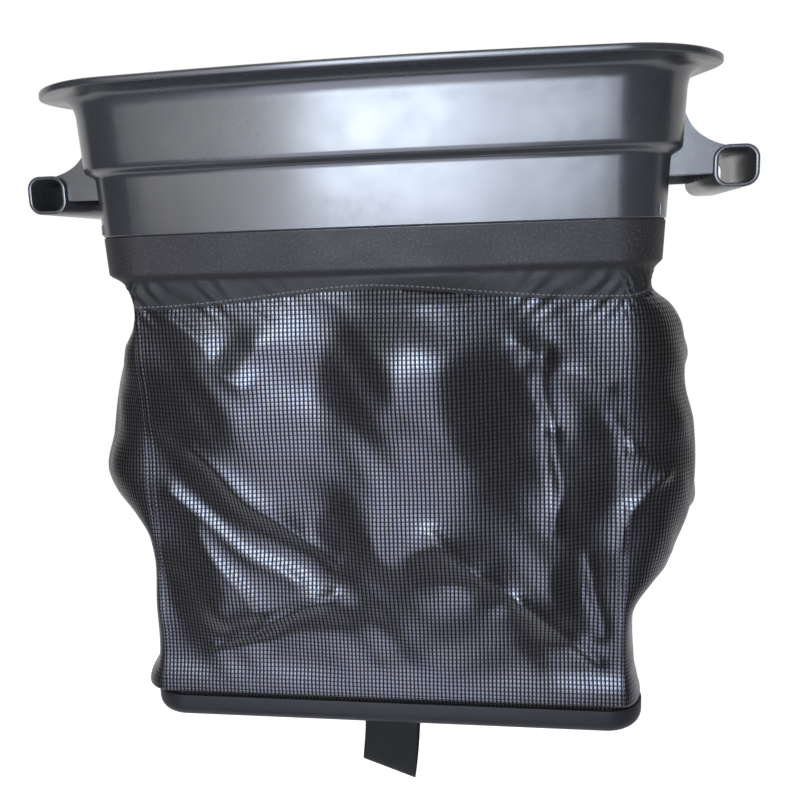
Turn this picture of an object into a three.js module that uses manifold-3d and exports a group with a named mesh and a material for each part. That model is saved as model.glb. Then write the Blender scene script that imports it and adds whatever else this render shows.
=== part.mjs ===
// Grass collection bag of a ride-on mower: a moulded collar with two carrying lugs,
// a coated header band, four mesh walls, a shallow moulded base and a webbing strap.
// Millimetres. X to the right, Y to the rear, Z up. The origin is the middle of the
// collar's mouth, in the plane of its top rim. The bag hangs down from there.
import * as THREE from 'three';
import { mergeVertices } from 'three/addons/utils/BufferGeometryUtils.js';
import Module from 'manifold-3d';

const wasm = await Module();
wasm.setup();

// Collar moulding. Its long sides bow outwards, and the bow dies away round the corners.
// Its flange is full along them and narrows to a lip along the short sides.
const RIM_WIDTH = 520;
const RIM_DEPTH = 400;
const RIM_RADIUS = 80;
const RIM_THICK = 5;
const RIM_EDGE_ROUND = 1.4;
const LONG_SIDE_BOW = 14;
const BOW_RUN_OUT = 25;
const FLANGE_REACH = 25.1;
const FLANGE_FILLET = 8;
const SIDE_FLANGE = 4;
const SIDE_FLANGE_FROM = 158;
const SIDE_FLANGE_TO = 84;
const WALL = 3;
const DRAFT = Math.tan(THREE.MathUtils.degToRad(3.2));
const STEP_TOP = 56.5;
const STEP_HEIGHT = 9.3;
const STEP_IN = 7.9;
const LOWER_TIER = 43.8;
const LOWER_CHAMFER = 1.5;
const SKIRT_SET_IN = 2.2;
const SKIRT_HEIGHT = 28;
const NIB = { width: 2, height: 8, proud: 1.3, turn: 52 };

// Side lugs of the collar: square tubes with round corners, each on two webs
const LUG_WIDTH = 32.3;
const LUG_HEIGHT = 30.6;
const LUG_RADIUS = 10.5;
const LUG_WALL = 3;
const LUG_LENGTH = 110;
const LUG_OUTER = 287.3;
const LUG_DROP = 72.5;
const LUG_FRONT = 125;
const WEB_THICK = 4;
const WEB_SET_BACK = 5;
const WEB_TOP_DROP = 32;
const WEB_LOW = 5;

// Cloth
const GAP = 0.3;
const BAND_THICK = 1.6;
const CREASE_BELOW = 0.8;
const BAND_LOOSE_MIDDLE = 15;
const BAND_LOOSE_CORNER = 28;
const MESH_THICK = 1.2;
const SEAM_IN_TOP = 32;
const SEAM_IN_LOW = 18.6;
const CORNER_DEPTH = 46;
const FRONT_BELLY = 5;
const SIDE_BELLY = 7;
const FOLD_HEIGHT = 4.5;
const GATHER_HEIGHT = 1.2;
const TAPE_WIDTH = 14;
const TAPE_THICK = 1.2;
const TAPE_GAP = 1.2;

// Open weave, drawn large: upright ribs with rows of gaps between them
const GAPS_ACROSS = 10;
const GAPS_DOWN = 10;
const GAP_WIDTH = 5;
const GAP_HEIGHT = 8;
const RIB_HEIGHT = 1.1;

// How far each side wall stands out of the straight line from band to base, against
// the fraction of the way down. The hanging cloth is pinched below the band and above
// the base, and bellies between, a little differently on each side.
const LEFT_BELLY = [
  [0, 0], [0.02, -8], [0.045, -17], [0.075, -24], [0.105, -17], [0.16, -4], [0.27, 10.5],
  [0.37, 19], [0.45, 28], [0.51, 22], [0.56, 8], [0.61, -5], [0.7, -7], [0.84, -2.5],
  [0.93, 0], [0.975, 8], [1, 8],
];
const RIGHT_BELLY = [
  [0, 0], [0.06, -2], [0.095, 12], [0.135, 19.5], [0.2, 22], [0.27, 23], [0.35, 31],
  [0.46, 34.5], [0.55, 32], [0.65, 21], [0.7, 13], [0.76, -4.5], [0.81, -8.5], [0.92, -6],
  [0.97, -2], [1, 1],
];

// Folds of the front wall. Each leans the cloth over where it is steepest, and its two
// sides stand in and out of the wall. The place is across from the middle and up from the
// rim's plane; lean is the slope there, and to is the direction in which the face turns.
const FRONT_FOLDS = [
  { at: [-152, -239], half: [70, 58], lean: 0.42, to: [-1, -0.2] },
  { at: [-134, -314], half: [50, 33], lean: 0.4, to: [-0.7, -0.7] },
  { at: [-78, -362], half: [54, 30], lean: 0.4, to: [-0.6, -0.8] },
  { at: [-160, -388], half: [44, 64], lean: 0.4, to: [-1, 0] },
  { at: [-84, -426], half: [64, 24], lean: 0.4, to: [-0.1, -1] },
  { at: [-20, -224], half: [42, 50], lean: 0.42, to: [-0.8, -0.6] },
  { at: [-19, -345], half: [30, 46], lean: 0.42, to: [-1, -0.1] },
  { at: [88, -266], half: [52, 88], lean: 0.44, to: [1, -0.1] },
  { at: [167, -282], half: [30, 68], lean: 0.42, to: [1, 0] },
  { at: [50, -368], half: [27, 36], lean: 0.42, to: [0.3, -1] },
  { at: [84, -382], half: [31, 36], lean: 0.42, to: [0.6, -0.8] },
  { at: [130, -435], half: [44, 27], lean: 0.42, to: [0.4, -1] },
  { at: [137, -396], half: [36, 20], lean: 0.38, to: [0.2, -1] },
  { at: [-1, -190], half: [25, 20], lean: 0.32, to: [0, -1] },
  { at: [-106, -180], half: [24, 16], lean: 0.34, to: [-0.5, -1] },
  { at: [127, -218], half: [15, 10], lean: 0.34, to: [0, -1] },
];

// Base
const BASE_DROP = 518.5;
const BASE_HALF_WIDTH = 209.8;
const BASE_HALF_DEPTH = 150;
const BASE_RADIUS = 32;
const BASE_SHIFT = 0.5;
const BASE_HEIGHT = 21.5;
const BASE_WALL = 3;
const BASE_FLOOR = 2.5;
const BASE_EDGE_ROUND = 11;
const BASE_INNER_CHAMFER = 7;
const BASE_TUCK = 11;
const OVERHANG = 11;

// Strap
const STRAP_WIDTH = 45;
const STRAP_THICK = 2;
const STRAP_X = 1;
const STRAP_SET_BACK = 16;
const STRAP_SPAN = 24;
const STRAP_DROP = 61;
const STRAP_SLANT = 21;
const STRAP_SWAY = -6;
const SLOT_CLEAR = 0.5;

// Curve steps
const CORNER_STEPS = 6;
const BOW_STEPS = 8;
const REAR_STEPS = 8;
const SIDE_STEPS = 6;
const CLOTH_ROWS = 12;

const COLLAR_LOW = STEP_TOP + STEP_HEIGHT + LOWER_TIER;
const SKIRT_LOW = COLLAR_LOW + SKIRT_HEIGHT;
const BAND_TOP = COLLAR_LOW + GAP;
const BAND_CREASE = SKIRT_LOW + CREASE_BELOW;
const BASE_TOP = BASE_DROP - BASE_HEIGHT;
const STRAIGHT_X = RIM_WIDTH / 2 - RIM_RADIUS;

const { lerp, clamp, smoothstep, degToRad } = THREE.MathUtils;

function toSolid(geometry) {
  const bare = new THREE.BufferGeometry();
  bare.setAttribute('position', geometry.getAttribute('position').clone());
  if (geometry.index) bare.setIndex(geometry.index.clone());
  const merged = mergeVertices(bare, 1e-4);
  return new wasm.Manifold(new wasm.Mesh({
    numProp: 3,
    vertProperties: new Float32Array(merged.getAttribute('position').array),
    triVerts: new Uint32Array(merged.index.array),
  }));
}

function fromSolid(solid) {
  const mesh = solid.getMesh();
  const geometry = new THREE.BufferGeometry();
  geometry.setAttribute('position', new THREE.BufferAttribute(mesh.vertProperties, 3));
  geometry.setIndex(new THREE.BufferAttribute(mesh.triVerts, 1));
  geometry.computeVertexNormals();
  return geometry;
}

// Joins rows of points into one closed surface. Each row runs counter-clockwise seen
// from above and the rows run down the outside, then up the inside.
function skin(rows, { wrapRows = false, caps = false, isOpen = () => false } = {}) {
  const across = rows[0].length;
  const positions = rows.flat().flatMap((p) => [p.x, p.y, p.z]);
  const index = [];
  const at = (row, column) => (row % rows.length) * across + (column % across);
  const rowSpans = wrapRows ? rows.length : rows.length - 1;
  for (let row = 0; row < rowSpans; row++) {
    for (let column = 0; column < across; column++) {
      if (isOpen(row, column)) continue;
      const a = at(row, column), b = at(row, column + 1);
      const c = at(row + 1, column), d = at(row + 1, column + 1);
      index.push(a, c, b, b, c, d);
    }
  }
  if (caps) {
    for (const [row, flip] of [[0, false], [rows.length - 1, true]]) {
      const hub = positions.length / 3;
      const middle = rows[row].reduce((sum, p) => sum.add(p), new THREE.Vector3());
      middle.divideScalar(across);
      positions.push(middle.x, middle.y, rows[row][0].z);
      for (let column = 0; column < across; column++) {
        const a = at(row, column), b = at(row, column + 1);
        index.push(...(flip ? [hub, b, a] : [hub, a, b]));
      }
    }
  }
  const geometry = new THREE.BufferGeometry();
  geometry.setAttribute('position', new THREE.Float32BufferAttribute(positions, 3));
  geometry.setIndex(index);
  geometry.computeVertexNormals();
  return geometry;
}

// A sheet with thickness from an outer and an inner grid of points, closed at its
// edges. The cells for which isGap says so are cut through.
function sheet(outer, inner, isGap = () => false) {
  const rows = outer.map((row, k) => [...row, ...inner[k].slice().reverse()]);
  const across = rows[0].length;
  const half = across / 2;
  const geometry = skin(rows, {
    isOpen: (row, column) => column % half < half - 1
      && isGap(row, column < half ? column : across - 2 - column),
  });
  const index = Array.from(geometry.index.array);
  const last = (rows.length - 1) * across;
  for (let column = 0; column < half - 1; column++) {
    const a = column, b = column + 1;
    const c = across - 1 - column, d = across - 2 - column;
    index.push(a, b, c, b, d, c);
    index.push(last + a, last + c, last + b, last + b, last + c, last + d);
    for (let row = 0; row < rows.length - 1; row++) {
      if (!isGap(row, column)) continue;
      const top = row * across, low = top + across;
      const loop = [[top + a, top + c], [low + a, low + c], [low + b, low + d], [top + b, top + d]];
      loop.forEach(([p, pIn], k) => {
        const [q, qIn] = loop[(k + 1) % 4];
        index.push(p, q, qIn, p, qIn, pIn);
      });
    }
  }
  geometry.setIndex(index);
  geometry.computeVertexNormals();
  return geometry;
}

// Rounded rectangle, counter-clockwise from the right end of the front edge. The two
// long sides have longSteps spans each. Each short side has a point at each of its stops.
function roundedPlan(halfWidth, halfDepth, radius, z, shiftX = 0, longSteps = 1, stops = []) {
  const points = [];
  const corners = [[1, -1, -90], [1, 1, 0], [-1, 1, 90], [-1, -1, 180]];
  for (const [sx, sy, start] of corners) {
    for (let k = 0; k <= CORNER_STEPS; k++) {
      const a = degToRad(start + 90 * k / CORNER_STEPS);
      points.push(new THREE.Vector3(
        shiftX + sx * (halfWidth - radius) + radius * Math.cos(a),
        sy * (halfDepth - radius) + radius * Math.sin(a), z));
    }
    for (let k = 1; sx === sy && k < longSteps; k++) {
      const along = 1 - 2 * k / longSteps;
      points.push(new THREE.Vector3(
        shiftX + sx * (halfWidth - radius) * along, sy * halfDepth, z));
    }
    for (const y of sx === sy ? [] : stops) {
      points.push(new THREE.Vector3(shiftX + sx * halfWidth, -sx * y, z));
    }
  }
  return points;
}

function bowAt(x) {
  const part = clamp(Math.abs(x) / (RIM_WIDTH / 2 + BOW_RUN_OUT), 0, 1);
  return LONG_SIDE_BOW * (1 - part ** 2) ** 2;
}

function collarPlan(inset, z) {
  const points = roundedPlan(RIM_WIDTH / 2 - inset, RIM_DEPTH / 2 - inset,
    RIM_RADIUS - inset, z, 0, BOW_STEPS, [SIDE_FLANGE_TO, -SIDE_FLANGE_TO]);
  const share = Math.max(0, 1 - inset / FLANGE_REACH);
  for (const p of points) {
    const narrow = 1 - smoothstep(Math.abs(p.y), SIDE_FLANGE_TO, SIDE_FLANGE_FROM);
    p.y += Math.sign(p.y) * bowAt(p.x);
    if (Math.abs(p.x) < STRAIGHT_X) continue;
    p.x -= Math.sign(p.x) * narrow * share * (FLANGE_REACH - SIDE_FLANGE);
  }
  return points;
}

// How far a wall face lies in from the rim's edge, at a drop below the rim.
const upperInset = (drop) => FLANGE_REACH + DRAFT * (drop - RIM_THICK);
const lowerInset = (drop) => upperInset(drop) + STEP_IN;
const skirtInset = (drop) => lowerInset(COLLAR_LOW) + SKIRT_SET_IN
  + DRAFT * (drop - COLLAR_LOW);

// The moulding's section: inset from the rim's edge, and height.
function collarProfile() {
  const stepLow = STEP_TOP + STEP_HEIGHT;
  const bend = 0.55 * STEP_HEIGHT;
  const path = new THREE.Path();
  path.moveTo(RIM_EDGE_ROUND, 0);
  path.quadraticCurveTo(0, 0, 0, -RIM_EDGE_ROUND);
  path.lineTo(0, RIM_EDGE_ROUND - RIM_THICK);
  path.lineTo(RIM_EDGE_ROUND, -RIM_THICK);
  path.lineTo(FLANGE_REACH - FLANGE_FILLET, -RIM_THICK);
  const filletLow = RIM_THICK + FLANGE_FILLET;
  path.quadraticCurveTo(FLANGE_REACH, -RIM_THICK, upperInset(filletLow), -filletLow);
  path.lineTo(upperInset(STEP_TOP), -STEP_TOP);
  path.bezierCurveTo(upperInset(STEP_TOP), -STEP_TOP - bend,
    lowerInset(stepLow), -stepLow + bend, lowerInset(stepLow), -stepLow);
  path.lineTo(lowerInset(COLLAR_LOW), LOWER_CHAMFER - COLLAR_LOW);
  path.lineTo(lowerInset(COLLAR_LOW) + LOWER_CHAMFER, -COLLAR_LOW);
  path.lineTo(skirtInset(COLLAR_LOW), -COLLAR_LOW);
  path.lineTo(skirtInset(SKIRT_LOW), -SKIRT_LOW);
  path.lineTo(skirtInset(SKIRT_LOW) + WALL, -SKIRT_LOW);
  path.lineTo(skirtInset(COLLAR_LOW) + WALL, WALL - COLLAR_LOW);
  path.lineTo(lowerInset(COLLAR_LOW) + WALL, 2 * WALL - COLLAR_LOW);
  path.lineTo(lowerInset(stepLow) + WALL, -stepLow);
  path.lineTo(upperInset(STEP_TOP) + WALL, -STEP_TOP);
  path.lineTo(upperInset(RIM_THICK) + WALL, -2 * RIM_EDGE_ROUND);
  path.lineTo(FLANGE_REACH + RIM_EDGE_ROUND, 0);
  return path.getPoints(4);
}

// A square bar with round corners that runs along Y. The inset makes it smaller.
function lugBar(side, inset, frontY, rearY) {
  const radius = LUG_RADIUS - inset;
  const x = LUG_WIDTH / 2 - LUG_RADIUS;
  const y = LUG_HEIGHT / 2 - LUG_RADIUS;
  const shape = new THREE.Shape();
  for (const [sx, sy, turn] of [[1, 1, 0], [-1, 1, 1], [-1, -1, 2], [1, -1, 3]]) {
    shape.absarc(sx * x, sy * y, radius, turn * Math.PI / 2, (turn + 1) * Math.PI / 2);
  }
  const geometry = new THREE.ExtrudeGeometry(shape,
    { depth: rearY - frontY, bevelEnabled: false, curveSegments: 2 });
  return geometry.rotateX(Math.PI / 2)
    .translate(side * (LUG_OUTER - LUG_WIDTH / 2), rearY, -LUG_DROP);
}

// The web between wall and lug, with a concave upper edge that runs up the wall.
function lugWeb(side, y) {
  const wallX = (drop) => side * (RIM_WIDTH / 2 - WALL / 2
    - (drop < STEP_TOP + STEP_HEIGHT / 2 ? upperInset(drop) : lowerInset(drop)));
  const lugX = side * (LUG_OUTER - LUG_WIDTH / 2);
  const lugTop = LUG_DROP - LUG_HEIGHT / 2 + LUG_WALL / 2;
  const low = LUG_DROP + WEB_LOW;
  const stepMiddle = STEP_TOP + STEP_HEIGHT / 2;
  const shape = new THREE.Shape();
  shape.moveTo(wallX(WEB_TOP_DROP), -WEB_TOP_DROP);
  shape.quadraticCurveTo(side * (RIM_WIDTH / 2 - FLANGE_REACH + 2), -lugTop + 6, lugX, -lugTop);
  shape.lineTo(lugX - side * (LUG_WIDTH - LUG_WALL) / 2, -LUG_DROP);
  shape.lineTo(lugX - side * (LUG_WIDTH - LUG_WALL) / 2, -low);
  shape.lineTo(wallX(low), -low);
  shape.lineTo(wallX(STEP_TOP + STEP_HEIGHT), -(STEP_TOP + STEP_HEIGHT));
  shape.lineTo(wallX(stepMiddle - 1), -(stepMiddle - STEP_HEIGHT / 4));
  shape.closePath();
  const geometry = new THREE.ExtrudeGeometry(shape,
    { depth: WEB_THICK, bevelEnabled: false, curveSegments: 8 });
  return geometry.rotateX(Math.PI / 2).translate(0, y + WEB_THICK, 0);
}

function makeCollar() {
  const rows = collarProfile().map((p) => collarPlan(p.x, p.y));
  let collar = toSolid(skin(rows, { wrapRows: true }));
  const rear = LUG_LENGTH - LUG_FRONT;
  for (const side of [-1, 1]) {
    collar = collar.add(toSolid(lugBar(side, 0, -LUG_FRONT, rear)));
    for (const y of [WEB_SET_BACK - LUG_FRONT, rear - WEB_SET_BACK - WEB_THICK]) {
      collar = collar.add(toSolid(lugWeb(side, y)));
    }
    collar = collar.subtract(toSolid(lugBar(side, LUG_WALL, -LUG_FRONT - 2, rear + 2)));
  }
  // A short locating nib low on each corner, just above the band
  const drop = COLLAR_LOW - LOWER_CHAMFER - NIB.height / 2 - 1;
  const reach = RIM_RADIUS - lowerInset(drop) + NIB.proud - WALL / 2;
  const a = degToRad(NIB.turn);
  for (const [sx, sy] of [[1, -1], [1, 1], [-1, 1], [-1, -1]]) {
    const x = sx * (STRAIGHT_X + reach * Math.sin(a));
    const y = RIM_DEPTH / 2 - RIM_RADIUS + reach * Math.cos(a) + bowAt(x);
    const nib = new THREE.BoxGeometry(WALL, NIB.width, NIB.height);
    nib.rotateZ(Math.atan2(sy * Math.cos(a), sx * Math.sin(a)));
    collar = collar.add(toSolid(nib.translate(x, sy * y, -drop)));
  }
  return fromSolid(collar);
}

const bandHalfWidth = (drop) => RIM_WIDTH / 2 - skirtInset(drop) + GAP + BAND_THICK;
const bandHalfDepth = (drop) => RIM_DEPTH / 2 - skirtInset(drop) + GAP + BAND_THICK;
const bellyCurve = (table) => new THREE.SplineCurve(table.map(([f, v]) => new THREE.Vector2(f, v)));
const leftCurve = bellyCurve(LEFT_BELLY);
const rightCurve = bellyCurve(RIGHT_BELLY);

function along(curve, table, fraction) {
  const spans = table.length - 1;
  let k = 0;
  while (k < spans - 1 && table[k + 1][0] < fraction) k++;
  const part = clamp((fraction - table[k][0]) / (table[k + 1][0] - table[k][0]), 0, 1);
  return curve.getPoint((k + part) / spans).y;
}

// Half sizes of the outer cloth face at a drop below the rim.
function clothSection(drop) {
  const f = clamp((drop - BAND_CREASE) / (BASE_TOP - BAND_CREASE), 0, 1);
  const wide = bandHalfWidth(Math.min(drop, BAND_CREASE));
  const deep = bandHalfDepth(Math.min(drop, BAND_CREASE));
  const loose = smoothstep(drop, BAND_CREASE, BAND_CREASE + BAND_LOOSE_MIDDLE);
  const tucked = smoothstep(drop, BASE_TOP - 7, BASE_TOP - 0.6);
  const inTray = BASE_WALL + GAP;
  const reach = (side, curve, table) => lerp(
    lerp(wide, BASE_HALF_WIDTH + side * BASE_SHIFT, f) + along(curve, table, f),
    BASE_HALF_WIDTH + side * BASE_SHIFT - inTray, tucked);
  const front = lerp(lerp(deep, BASE_HALF_DEPTH, f) + 3 * Math.sin(Math.PI * f)
    + 3 * smoothstep(f, 0.9, 0.98), BASE_HALF_DEPTH - inTray, tucked);
  const seamOut = lerp(wide - SEAM_IN_TOP, BASE_HALF_WIDTH - SEAM_IN_LOW, f);
  return {
    left: reach(-1, leftCurve, LEFT_BELLY),
    right: reach(1, rightCurve, RIGHT_BELLY),
    front,
    seam: (side) => lerp(lerp(STRAIGHT_X, seamOut, loose),
      BASE_HALF_WIDTH - BASE_RADIUS + side * BASE_SHIFT, tucked),
    corner: lerp(lerp(wide - STRAIGHT_X, CORNER_DEPTH, loose), BASE_RADIUS - inTray, tucked),
    bow: 1 - smoothstep(f, 0, 0.7),
    loose,
    f,
    drop,
    slack: Math.sin(Math.PI * f) * (1 - tucked),
  };
}

// Folds run out of the two lower corners of a wall and die away up the cloth.
function cornerFolds(t, f, strength) {
  let height = 0;
  for (const corner of [0, 1]) {
    const across = Math.abs(t - corner);
    const up = 1 - f;
    const turn = Math.atan2(up, across);
    const away = Math.hypot(across, up);
    height += Math.cos(turn * 11 + corner) * smoothstep(away, 0.08, 0.3)
      * (1 - smoothstep(away, 0.35, 0.85));
  }
  return strength * height * Math.sin(Math.PI * t);
}

const gapShare = GAP_WIDTH / (2 * (BASE_HALF_WIDTH - SEAM_IN_LOW));
const ribShare = (1 - GAPS_ACROSS * gapShare) / (GAPS_ACROSS + 1);

// The front wall's folds, which run on round its corners. The place is unrolled.
function frontFolds(across, s) {
  const up = -s.drop;
  let height = 0;
  for (const { at, half, lean, to } of FRONT_FOLDS) {
    const x = across - at[0], z = up - at[1];
    const facing = (x * to[0] + z * to[1]) / Math.hypot(to[0], to[1]);
    height -= lean * facing * Math.exp(-((x / half[0]) ** 2) - (z / half[1]) ** 2);
  }
  return height * smoothstep(s.drop, BAND_CREASE + 14, BAND_CREASE + 40)
    * (1 - smoothstep(s.f, 0.9, 0.975));
}

// The ribs of the front wall's weave die away at its seams and at the base.
function ribs(t, f) {
  const inRib = (t % (ribShare + gapShare)) / ribShare;
  return RIB_HEIGHT * Math.max(0, 1 - Math.abs(2 * inRib - 1))
    * smoothstep(Math.min(t, 1 - t), 0, 0.09)
    * smoothstep(f, 0.09, 0.17) * (1 - smoothstep(f, 0.88, 0.96));
}

const seamDrop = (u) => {
  const bow = Math.abs(Math.cos(Math.PI * seatOf(u)));
  return BAND_CREASE + lerp(BAND_LOOSE_MIDDLE, BAND_LOOSE_CORNER, bow ** 1.6);
};

// Where a point of the perimeter lies along its own wall, 0 to 1, corners at the ends.
function seatOf(u) {
  const w = ((u % 8) + 8) % 8;
  if (w <= 1 || (w >= 4 && w <= 5)) return w % 4;
  return w < 4 ? clamp((w - 1) / 3, 0, 1) : clamp((w - 5) / 3, 0, 1);
}

// A point of the cloth. The perimeter runs 0 to 8: front, corner, right side, corner,
// rear, corner, left side, corner. Inset is the distance in from the outer face.
function clothPoint(u, drop, inset = 0) {
  const s = clothSection(drop);
  const w = ((u % 8) + 8) % 8;
  const wall = Math.floor(w);
  const t = w - wall;
  const fade = 1 - smoothstep(drop, BAND_CREASE + 12, BAND_CREASE + 50);
  const nearCorner = Math.abs(Math.cos(Math.PI * seatOf(w))) ** 2;
  const gather = GATHER_HEIGHT * s.loose * fade * nearCorner * Math.sin(26 * Math.PI * seatOf(w));
  const belly = Math.sin(Math.PI * t) * s.slack;
  if (wall === 0 || wall === 4) {
    const face = wall === 0 ? -1 : 1;
    const x = lerp(-s.seam(-1), s.seam(1), wall === 0 ? t : 1 - t);
    const folds = wall === 0 ? frontFolds(x, s) + ribs(t, s.f)
      : cornerFolds(t, s.f, FOLD_HEIGHT * s.slack);
    const out = FRONT_BELLY * belly + folds + gather + s.bow * bowAt(x);
    return new THREE.Vector3(x, face * (s.front - inset + out), -drop);
  }
  const side = wall < 4 ? 1 : -1;
  const reach = side > 0 ? s.right : s.left;
  const straight = s.front - s.corner;
  if (wall === 2 || wall === 6) {
    const out = SIDE_BELLY * belly + cornerFolds(t, s.f, 0.7 * FOLD_HEIGHT * s.slack) + gather;
    const x = side * (reach - inset + out);
    const part = 2 * (side > 0 ? t : 1 - t) - 1;
    return new THREE.Vector3(x, part * (straight + s.bow * bowAt(x)), -drop);
  }
  const towardsFront = wall === 1 || wall === 7;
  const fromFace = wall === 1 || wall === 5 ? t : 1 - t;
  const a = fromFace * Math.PI / 2;
  const face = towardsFront ? -1 : 1;
  const wide = reach - s.seam(side);
  const round = 0.5 * Math.PI * Math.sqrt((wide ** 2 + s.corner ** 2) / 2);
  const folds = towardsFront ? frontFolds(side * (s.seam(side) + round * fromFace), s)
    * (1 - smoothstep(fromFace, 0.7, 1)) : 0;
  const bulge = gather + folds - inset;
  const x = side * (s.seam(side) + (wide + bulge) * Math.sin(a));
  return new THREE.Vector3(x, face * (straight + s.bow * bowAt(x)
    + (s.corner + bulge) * Math.cos(a)), -drop);
}

const evenly = (count) => Array.from({ length: count + 1 }, (_, k) => k / count);

// Columns of the front wall: each rib has a ridge in its middle, and a gap follows it.
function frontColumns() {
  const list = [];
  for (let k = 0; k <= GAPS_ACROSS; k++) {
    const start = k * (ribShare + gapShare);
    list.push(start, start + ribShare / 2, start + ribShare);
  }
  return list;
}

function wallColumns(wall) {
  if (wall === 0) return frontColumns();
  return evenly(wall === 4 ? REAR_STEPS : wall % 2 === 1 ? CORNER_STEPS : SIDE_STEPS);
}

// Columns over part of the perimeter, trimmed by a little at both ends.
function columns(from, to, trim = 0) {
  const list = [];
  for (let wall = from; wall < to; wall++) {
    list.push(...wallColumns(wall).slice(0, -1).map((t) => wall + t));
  }
  list.push(to);
  list[0] += trim;
  list[list.length - 1] -= trim;
  return list;
}

// Rows of cloth points, one row for each entry of the list of drops at a column.
function clothGrid(across, dropsAt, inset) {
  return dropsAt(across[0]).map((_, row) => across.map(
    (u) => clothPoint(u, dropsAt(u)[row], inset)));
}

function clothRing(dropsAt, outer, thick) {
  const across = columns(0, 8).slice(0, -1);
  return skin([...clothGrid(across, dropsAt, outer),
    ...clothGrid(across, dropsAt, outer + thick).reverse()], { wrapRows: true });
}

// Drops of the band's rows: flat over the skirt and then loose down to the seam.
const bandDrops = (u) => [BAND_TOP, BAND_CREASE - 1.5, BAND_CREASE + 1,
  seamDrop(u) - TAPE_WIDTH / 2, seamDrop(u)];

const tapeDrops = (u) => [-1, 0, 1].map((k) => seamDrop(u) + k * TAPE_WIDTH / 2);

// Drops of a mesh wall's rows: the given shares down the wall, then close over the
// base's edge.
function meshDrops(u, shares = evenly(CLOTH_ROWS)) {
  const firm = seamDrop(u) + TAPE_WIDTH / 2;
  const down = shares.map((part) => lerp(firm, BASE_TOP - OVERHANG, part));
  return [seamDrop(u) + GAP, ...down, BASE_TOP - 6.5, BASE_TOP - 3.5, BASE_TOP - 0.5,
    BASE_TOP + BASE_TUCK];
}

// Shares of the front wall's rows: between two rows of gaps there is a plain strip.
function frontShares() {
  const gap = GAP_HEIGHT / (BASE_TOP - OVERHANG - BAND_CREASE - BAND_LOOSE_CORNER);
  const strip = (1 - GAPS_DOWN * gap) / (GAPS_DOWN + 1);
  return Array.from({ length: GAPS_DOWN + 1 },
    (_, k) => [k * (strip + gap), k * (strip + gap) + strip]).flat();
}

function meshWall(from, to) {
  const trim = GAP / 2 / (from % 4 === 0 ? 2 * BASE_HALF_WIDTH : CORNER_DEPTH);
  const across = columns(from, to, trim);
  return sheet(clothGrid(across, meshDrops, 0), clothGrid(across, meshDrops, MESH_THICK));
}

function frontWall() {
  const across = columns(0, 1, GAP / 4 / BASE_HALF_WIDTH);
  const drops = (u) => meshDrops(u, frontShares());
  const isGap = (row, column) => column % 3 === 2 && row % 2 === 0
    && row > 0 && row <= 2 * GAPS_DOWN;
  return sheet(clothGrid(across, drops, 0), clothGrid(across, drops, MESH_THICK), isGap);
}

// A tape behind the corner seam at u. It lies on the facets of the two walls it joins.
function cornerTape(u) {
  const ring = columns(0, 8).slice(0, -1);
  const place = ring.indexOf(u % 8);
  const sides = [-1, 1].map((step) => ring[(place + step + ring.length) % ring.length]);
  const drops = [meshDrops(u)[1] + 2 * GAP, ...meshDrops(u).slice(2, CLOTH_ROWS + 2)];
  const grid = (inset) => drops.map((drop, row) => {
    const middle = clothPoint(u, drop, inset);
    const [before, after] = sides.map((side) => {
      const edge = clothPoint(side, meshDrops(side)[row + 1], inset).sub(middle);
      return middle.clone().addScaledVector(edge, Math.min(1, TAPE_WIDTH / 2 / edge.length()));
    });
    return [before, middle, after];
  });
  return sheet(grid(MESH_THICK + TAPE_GAP), grid(MESH_THICK + TAPE_GAP + TAPE_THICK));
}

const strapFront = STRAP_SET_BACK - BASE_HALF_DEPTH;
const strapRear = strapFront + STRAP_SPAN;

function makeBase() {
  const plan = (inset, drop) => roundedPlan(BASE_HALF_WIDTH - inset, BASE_HALF_DEPTH - inset,
    BASE_RADIUS - inset, -drop, BASE_SHIFT);
  const floor = BASE_DROP - BASE_FLOOR;
  const rows = [];
  for (const part of evenly(4)) {
    const a = part * Math.PI / 2;
    rows.push(plan(BASE_EDGE_ROUND * (1 - Math.sin(a)),
      BASE_DROP - BASE_EDGE_ROUND * (1 - Math.cos(a))));
  }
  rows.push(plan(0, BASE_TOP + 0.8), plan(0.8, BASE_TOP));
  rows.push(plan(BASE_WALL - 0.8, BASE_TOP), plan(BASE_WALL, BASE_TOP + 0.8));
  rows.push(plan(BASE_WALL, floor - BASE_INNER_CHAMFER));
  rows.push(plan(BASE_WALL + BASE_INNER_CHAMFER, floor));
  let base = toSolid(skin(rows.reverse(), { caps: true }));
  for (const y of [strapFront, strapRear]) {
    const slot = new THREE.BoxGeometry(STRAP_WIDTH + 4 * SLOT_CLEAR,
      STRAP_THICK + 2 * SLOT_CLEAR, 4 * BASE_FLOOR);
    base = base.subtract(toSolid(slot.translate(STRAP_X, y, -BASE_DROP)));
  }
  return fromSolid(base);
}

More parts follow.
